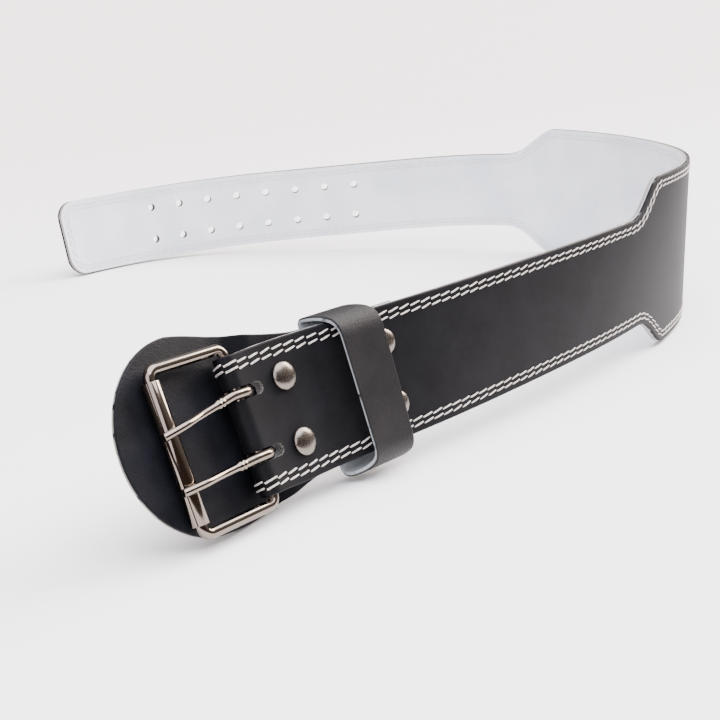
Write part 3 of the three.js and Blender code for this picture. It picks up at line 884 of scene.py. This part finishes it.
def loop_outline(low, high, front, back, inset):
    """Across and depth round the loop, with the same number of points at any size"""
    top_front, top_back = keeper_top_front_radius - inset, keeper_top_back_radius - inset
    low_front, low_back = keeper_low_front_radius - inset, keeper_low_back_radius - inset
    corners = [
        (low + low_back, back - low_back, low_back, 90),
        (low + low_front, front + low_front, low_front, 180),
        (high - top_front, front + top_front, top_front, -90),
        (high - top_back, back - top_back, top_back, 0),
    ]
    points = []
    for i, (x, y, r, start) in enumerate(corners):
        arc = [
            (x + r * math.cos(math.radians(start + 9 * k)), y + r * math.sin(math.radians(start + 9 * k)))
            for k in range(11)
        ]
        points += arc
        nx, ny, nr, nstart = corners[(i + 1) % 4]
        following = (nx + nr * math.cos(math.radians(nstart)), ny + nr * math.sin(math.radians(nstart)))
        steps = 24 if i in (1, 3) else 4
        for k in range(1, steps):
            points.append(tuple(np.array(arc[-1]) + (np.array(following) - arc[-1]) * k / steps))
    return np.array(points)


def keeper_station():
    low, high = -strap_width / 2 - keeper_below, strap_width / 2 + keeper_above
    back, front = tail_skin_depth + gap, -keeper_room
    t = keeper_thickness
    outer = loop_outline(low - t, high + t, front - t, back + t, 0)
    inner = loop_outline(low, high, front, back, t)
    steps = np.linalg.norm(np.diff(outer, axis=0, append=outer[:1]), axis=1)

    def to_points(across, depth, beside):
        height = np.clip((across - low) / (high - low), 0, 1)
        push = keeper_low_push + (keeper_top_push - keeper_low_push) * height
        rest = keeper_back_push * (1 - height)
        push = rest + (push - rest) * ease((back - depth) / (back - front))
        return belt_points(keeper_middle + push + beside, across, depth)

    count = len(outer)
    return {
        "middle": np.zeros(count),
        "half": np.full(count, keeper_width / 2),
        "inset": np.zeros(count),
        "skin": outer,
        "flesh": inner,
        "place": np.concatenate([[0], np.cumsum(steps)[:-1]]),
        "to_points": to_points,
    }


keeper = wall("keeper_leather_loop", keeper_station(), keeper_thickness, keeper_rounding, 14, closed=True)
keeper_leather = leather_material(
    "black_pebbled_cowhide", 0.7, 0.13, "080708", "171516", 0.5, 0.2, "8e9396", 1.0
)
keeper.data.materials.append(keeper_leather)
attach(keeper, "belt")
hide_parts("keeper_loop")

# The rivets
# Four tubular steel rivets with domed caps outside and flat washers inside, plated in satin nickel.
cap_radius = 6.4
cap_height = 3
cap_rim_height = 0.6
cap_rim_inset = 0.2
washer_thickness = 1
rim_bevel = 0.25


def new_piece(name, shape):
    """Makes a closed piece of a bmesh."""
    mesh = bpy.data.meshes.new(name)
    shape.to_mesh(mesh)
    shape.free()
    piece = bpy.data.objects.new(name, mesh)
    bpy.context.scene.collection.objects.link(piece)
    outwards(piece)
    return piece


def lathe(name, profile, sides, place):
    """A turned piece about the z axis of its place, from radius and height in mm."""
    shape = bmesh.new()
    rings = []
    for radius, height in profile:
        if radius < 1e-6:
            rings.append([shape.verts.new(place @ Vector((0, 0, height * MM)))])
            continue
        ring = []
        for i in range(sides):
            a = 2 * math.pi * i / sides
            point = Vector((radius * math.cos(a) * MM, radius * math.sin(a) * MM, height * MM))
            ring.append(shape.verts.new(place @ point))
        rings.append(ring)
    for first, second in zip(rings, rings[1:]):
        for i in range(sides):
            j = (i + 1) % sides
            corners = [first[k % len(first)] for k in (i, j)] + [second[k % len(second)] for k in (j, i)]
            shape.faces.new(list(dict.fromkeys(corners)))
    return new_piece(name, shape)


def nickel_material(name, code, roughness, waver):
    """Nickel plate over steel: warm grey metal. Slow waves and fine rub marks break up what it
    mirrors."""
    material, tree = new_material(name)
    position = add_node(tree, "ShaderNodeTexCoord", output="Object")
    rubbed = add_node(
        tree, "ShaderNodeTexNoise", {"Vector": position, "Scale": 1600.0, "Detail": 4.0, "Roughness": 0.6}
    )
    wave = add_node(tree, "ShaderNodeTexNoise", {"Vector": position, "Scale": 70.0, "Detail": 1.0})
    gloss = add_node(
        tree,
        "ShaderNodeMapRange",
        {
            "Value": rubbed,
            "From Min": 0.3,
            "From Max": 0.75,
            "To Min": roughness * 0.75,
            "To Max": roughness * 1.35,
        },
    )
    ripple = add_node(tree, "ShaderNodeBump", {"Height": wave, "Distance": waver * MM})
    metal = add_node(tree, "ShaderNodeBsdfPrincipled", {
        "Base Color": colour(code),
        "Metallic": 1.0,
        "Roughness": gloss,
        "Normal": ripple,
    })
    add_node(tree, "ShaderNodeOutputMaterial", {"Surface": metal})
    return material


satin_nickel = nickel_material("satin_nickel_plate", "6f6861", 0.26, 0.003)
for number, (along, across) in enumerate(rivet_places, 1):
    back = float(guard_depth(along)) + guard_thickness + gap
    lift = gap + float(face_swell(along))
    profile = [(0, lift + cap_height)]
    for turn in range(6, 91, 6):
        dome = math.cos(math.radians(turn)) * (cap_height - cap_rim_height)
        profile.append((math.sin(math.radians(turn)) * cap_radius, lift + cap_rim_height + dome))
    profile += [
        (cap_radius, lift + rim_bevel),
        (cap_radius - cap_rim_inset, lift),
        (rivet_shank_radius, lift),
        (rivet_shank_radius, -back),
    ]
    washer_back = -back - washer_thickness
    profile += [(washer_radius, -back), (washer_radius, washer_back + rim_bevel)]
    profile += [(washer_radius - rim_bevel, washer_back), (0, washer_back)]
    rivet = lathe(f"rivet_{number}_domed", profile, 48, belt_frame(along, across, 0))
    rivet.data.materials.append(satin_nickel)
    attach(rivet, "belt")
    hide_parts(f"rivet_{number}")

# The buckle's frame
# One ring of 5 mm steel wire bent to a rectangle and plated in bright nickel. Its bar lies in the
# fold, and it hangs from there in front of the guard.
frame_half_width = 34.9
frame_corner_radius = 4.2
buckle_tilt = math.asin(frame_dip / frame_reach)
buckle_place = belt_frame(0, 0, bar_depth) @ Matrix.Rotation(-buckle_tilt, 4, "Y")


def wire(name, centres, radii, sides, place, closed=False):
    """Round wire along a line in mm, with a radius at each of its points."""
    centres = [Vector(c) for c in centres]
    count = len(centres)
    shape = bmesh.new()
    rings = []
    beside = None
    for i in range(count):
        before = centres[(i - 1) % count] if closed or i else centres[0]
        after = centres[(i + 1) % count] if closed or i < count - 1 else centres[-1]
        ahead = (after - before).normalized()
        if beside is None:
            beside = ahead.orthogonal().normalized()
        beside = (beside - ahead * beside.dot(ahead)).normalized()
        above = ahead.cross(beside)
        ring = []
        for k in range(sides):
            a = 2 * math.pi * k / sides
            point = centres[i] + (beside * math.cos(a) + above * math.sin(a)) * radii[i]
            ring.append(shape.verts.new(place @ (point * MM)))
        rings.append(ring)
    pairs = list(zip(rings, rings[1:])) + ([(rings[-1], rings[0])] if closed else [])
    for first, second in pairs:
        for k in range(sides):
            j = (k + 1) % sides
            shape.faces.new((first[k], first[j], second[j], second[k]))
    if not closed:
        shape.faces.new(rings[0][::-1])
        shape.faces.new(rings[-1])
    return new_piece(name, shape)


def frame_line():
    """The middle of the wire: four bent corners and straight runs between them."""
    r = frame_corner_radius
    corners = [
        (-r, frame_half_width - r, 0),
        (r - frame_reach, frame_half_width - r, 90),
        (r - frame_reach, r - frame_half_width, 180),
        (-r, r - frame_half_width, 270),
    ]
    line = []
    for i, (x, y, start) in enumerate(corners):
        arc = [math.radians(start + 7.5 * k) for k in range(13)]
        line += [Vector((x + r * math.cos(a), y + r * math.sin(a), 0)) for a in arc]
        nx, ny, nstart = corners[(i + 1) % 4]
        a = math.radians(nstart)
        following = Vector((nx + r * math.cos(a), ny + r * math.sin(a), 0))
        line += [line[-1].lerp(following, k / 16) for k in range(1, 16)]
    return line


bright_nickel = nickel_material("bright_nickel_plate", "776d64", 0.1, 0.015)
ring = frame_line()
buckle_frame = wire("buckle_wire_frame", ring, [wire_radius] * len(ring), 28, buckle_place, closed=True)
buckle_frame.data.materials.append(bright_nickel)
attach(buckle_frame, "buckle")
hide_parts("buckle_frame")

# The roller
# Thin steel sheet rolled to a tube with an open seam, plated like the frame, loose on its far side.
roller_length = 60.4
roller_seam = 0.5
roller_seam_turn = 35


def roller_section():
    """The sheet's section: outside round from the seam, over the lip and back along the bore."""
    outer, inner = roller_radius, wire_radius + gap
    half_seam = math.degrees(roller_seam / 2 / outer)
    turns = np.linspace(half_seam, 360 - half_seam, 60)
    outside = [(outer * math.cos(math.radians(a)), outer * math.sin(math.radians(a))) for a in turns]
    inside = [(inner * math.cos(math.radians(a)), inner * math.sin(math.radians(a))) for a in turns[::-1]]
    return outside + inside


def sheet_roller(name):
    section = roller_section()
    half = roller_length / 2
    bevel = 0.25
    middle = (roller_radius + wire_radius + gap) / 2
    layers = [(-half, 0.2), (-half + bevel, 0.0), (half - bevel, 0.0), (half, 0.2)]
    turned = Matrix.Rotation(math.radians(180 + roller_seam_turn), 4, "Y")
    place = buckle_place @ Matrix.Translation((-frame_reach * MM, 0, 0)) @ turned
    shape = bmesh.new()
    rings = []
    for y, pull in layers:
        ring = []
        for x, z in section:
            radius = math.hypot(x, z)
            k = 1 + pull * (middle - radius) / radius
            ring.append(shape.verts.new(place @ Vector((x * k * MM, y * MM, z * k * MM))))
        rings.append(ring)
    for first, second in zip(rings, rings[1:]):
        for i in range(len(section)):
            j = (i + 1) % len(section)
            shape.faces.new((first[i], first[j], second[j], second[i]))
    half_count = len(section) // 2
    for ring in (rings[0], rings[-1]):
        for i in range(half_count - 1):
            shape.faces.new((ring[i], ring[i + 1], ring[-i - 2], ring[-i - 1]))
    return new_piece(name, shape)


roller = sheet_roller("buckle_sheet_roller")
roller.data.materials.append(bright_nickel)
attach(roller, "roller")
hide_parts("buckle_roller")

# The prongs
# Each is one steel wire: an eye round the bar, a thick root, a crimp of two small rings, and a
# thinner shank that bends over the roller and ends in a square cut.
prong_radius = 1.75
prong_overhang = 6.2
prong_crimp_at = 15.5
prong_slants = {"upper": -8.8, "lower": -2.2}
prong_tip_drop = -0.63

# Share of the frame's reach, level from the root's line to the roller's, and lift in prong radii
prong_line = [
    (0.17, 0, 0),
    (0.35, 0, -0.11),
    (0.64, 0.1, 0),
    (0.86, 1, 0.28),
    (1, 1, 0.06),
]

# Distance from the crimp's middle and the wire's radius there
prong_radii = [
    (-2.4, 2.2),
    (-1.5, 2.45),
    (-0.7, 2.15),
    (-0.2, 2.12),
    (0.6, 2.35),
    (1.4, 1.95),
    (2.4, 1.75),
]


def smooth_line(points, per_span):
    """A Catmull-Rom line through points, with even steps in each span"""
    points = [Vector(p) for p in points]
    ends = [points[0] * 2 - points[1]] + points + [points[-1] * 2 - points[-2]]
    line = []
    for a, b, c, d in zip(ends, ends[1:], ends[2:], ends[3:]):
        for k in range(per_span):
            t = k / per_span
            second, third = a * 2 - b * 5 + c * 4 - d, b * 3 - a - c * 3 + d
            line.append(0.5 * (b * 2 + (c - a) * t + second * t * t + third * t**3))
    return line + [points[-1]]


def prong_wire(slant):
    """The middle of one prong's wire, with its radius at each point."""
    eye_middle = wire_radius + gap + prong_root_radius
    over_roller = roller_radius + gap + prong_radius
    sideways = math.tan(math.radians(slant))

    def at(back, level, lift):
        out = eye_middle + (over_roller - eye_middle) * level + lift * prong_radius
        return Vector((-back, sideways * max(back - eye_radius, 0), out))

    eye = [math.radians(a) for a in range(-172, 90, 8)]
    line = [Vector((eye_middle * math.cos(a), 0, eye_middle * math.sin(a))) for a in eye]
    bends = [at(0.01, 0, 0)] + [at(s * frame_reach, level, lift) for s, level, lift in prong_line]
    bends.append(at(frame_reach + prong_overhang, 1, prong_tip_drop))
    shank = smooth_line(bends, 28)
    distances, sizes = zip(*prong_radii)
    radii = [prong_root_radius] * len(line)
    radii += [float(np.interp(-p.x - prong_crimp_at, distances, sizes)) for p in shank]
    line += shank
    tip = (line[-1] - line[-2]).normalized()
    line += [line[-1] + tip * 0.25, line[-1] + tip * 0.35]
    radii += [prong_radius * 0.93, prong_radius * 0.8]
    return line, radii


for side, slant in prong_slants.items():
    across = prong_spacing / 2 if side == "upper" else -prong_spacing / 2
    line, radii = prong_wire(slant)
    place = buckle_place @ Matrix.Translation((0, across * MM, 0))
    prong = wire(f"prong_{side}_wire", line, radii, 24, place)
    prong.data.materials.append(bright_nickel)
    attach(prong, f"{side}_prong")
    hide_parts(f"prong_{side}")

# The floor, the light and the camera
# A plain pale floor under soft studio light, and the camera at the photograph's viewing angle.
def paper_material():
    """White paper sweep: matt, with a painted pinkish cast of warm light and shade that grows slowly
    towards the back and the left.
    """
    material, tree = new_material("pale_paper")
    position = add_node(tree, "ShaderNodeTexCoord", output="Object")
    # Painted warm light and shade: this mask turns the paper pinkish and a little darker towards the back
    # and the left
    towards = add_node(
        tree,
        "ShaderNodeVectorMath",
        {0: position, 1: (-0.7, 0.7, 0.0)},
        operation="DOT_PRODUCT",
        output="Value",
    )
    warm = add_node(tree, "ShaderNodeMapRange", {"Value": towards, "From Min": -0.1, "From Max": 0.9})
    tone = add_node(
        tree,
        "ShaderNodeMix",
        {0: warm, 6: colour("f7f6f6"), 7: colour("ebe2de")},
        data_type="RGBA",
        output=2,
    )
    cloud = add_node(tree, "ShaderNodeTexNoise", {"Vector": position, "Scale": 3.0, "Detail": 2.0})
    gloss = add_node(tree, "ShaderNodeMapRange", {"Value": cloud, "To Min": 0.68, "To Max": 0.74})
    paper = add_node(tree, "ShaderNodeBsdfPrincipled", {"Base Color": tone, "Roughness": gloss})
    add_node(tree, "ShaderNodeOutputMaterial", {"Surface": paper})
    return material


# The table's corners, in metres: it widens away from the camera
floor_corners = [(-1.6, -0.75, 0), (0.45, -0.75, 0), (11, 30, 0), (-14, 30, 0)]
floor_mesh = bpy.data.meshes.new("floor")
floor_mesh.from_pydata(floor_corners, [], [(0, 1, 2, 3)])
floor = bpy.data.objects.new("floor", floor_mesh)
bpy.context.scene.collection.objects.link(floor)
floor.data.materials.append(paper_material())

world = bpy.data.worlds.new("studio")
bpy.context.scene.world = world
world.use_nodes = True
studio = world.node_tree
studio.nodes.clear()
towards = add_node(studio, "ShaderNodeTexCoord", output="Generated")
bright_side = add_node(
    studio,
    "ShaderNodeVectorMath",
    {0: towards, 1: (0.2, 0.55, 0.81)},
    operation="DOT_PRODUCT",
    output="Value",
)
fade = add_node(studio, "ShaderNodeMapRange", {"Value": bright_side, "From Min": 0.15, "From Max": 0.95})
glow = add_node(
    studio, "ShaderNodeMix", {0: fade, 6: colour("6b5a50"), 7: colour("f4f1ee")}, data_type="RGBA", output=2
)
backdrop = add_node(studio, "ShaderNodeBackground", {"Color": glow, "Strength": 0.9})
add_node(studio, "ShaderNodeOutputWorld", {"Surface": backdrop})


def hang_light(name, kind, place, target, power, code, **settings):
    lamp = bpy.data.lights.new(name, kind)
    lamp.energy = power
    lamp.color = colour(code)[:3]
    for key, value in settings.items():
        setattr(lamp, key, value)
    holder = bpy.data.objects.new(name, lamp)
    holder.location = place
    holder.rotation_mode = "QUATERNION"
    holder.rotation_quaternion = (Vector(target) - Vector(place)).to_track_quat("-Z", "Y")
    bpy.context.scene.collection.objects.link(holder)


hang_light("overhead_scrim", "SUN", (0.2, 0.05, 0.97), (0, 0, 0), 9, "f6f6ff", angle=math.radians(70))
hang_light("key_light", "SUN", (0.6, 0.55, 0.5), (0, 0, 0), 8, "fff1e6", angle=math.radians(35))
hang_light("front_scrim", "SUN", (-0.3, -0.75, 0.6), (0, 0, 0), 3.5, "f4f4ff", angle=math.radians(60))

camera_from_face = (43.6, -465.99, 176.75)
camera_pitch = 17.714
camera_lens = 58.88
camera = bpy.data.cameras.new("camera")
camera.lens = camera_lens
camera.sensor_width = 36
camera.clip_start, camera.clip_end = 0.01, 200
camera_holder = bpy.data.objects.new("camera", camera)
camera_holder.location = (Vector(line_point[0]) + Vector(camera_from_face)) * MM
camera_holder.rotation_euler = (math.radians(90 - camera_pitch), 0, 0)
bpy.context.scene.collection.objects.link(camera_holder)
bpy.context.scene.camera = camera_holder
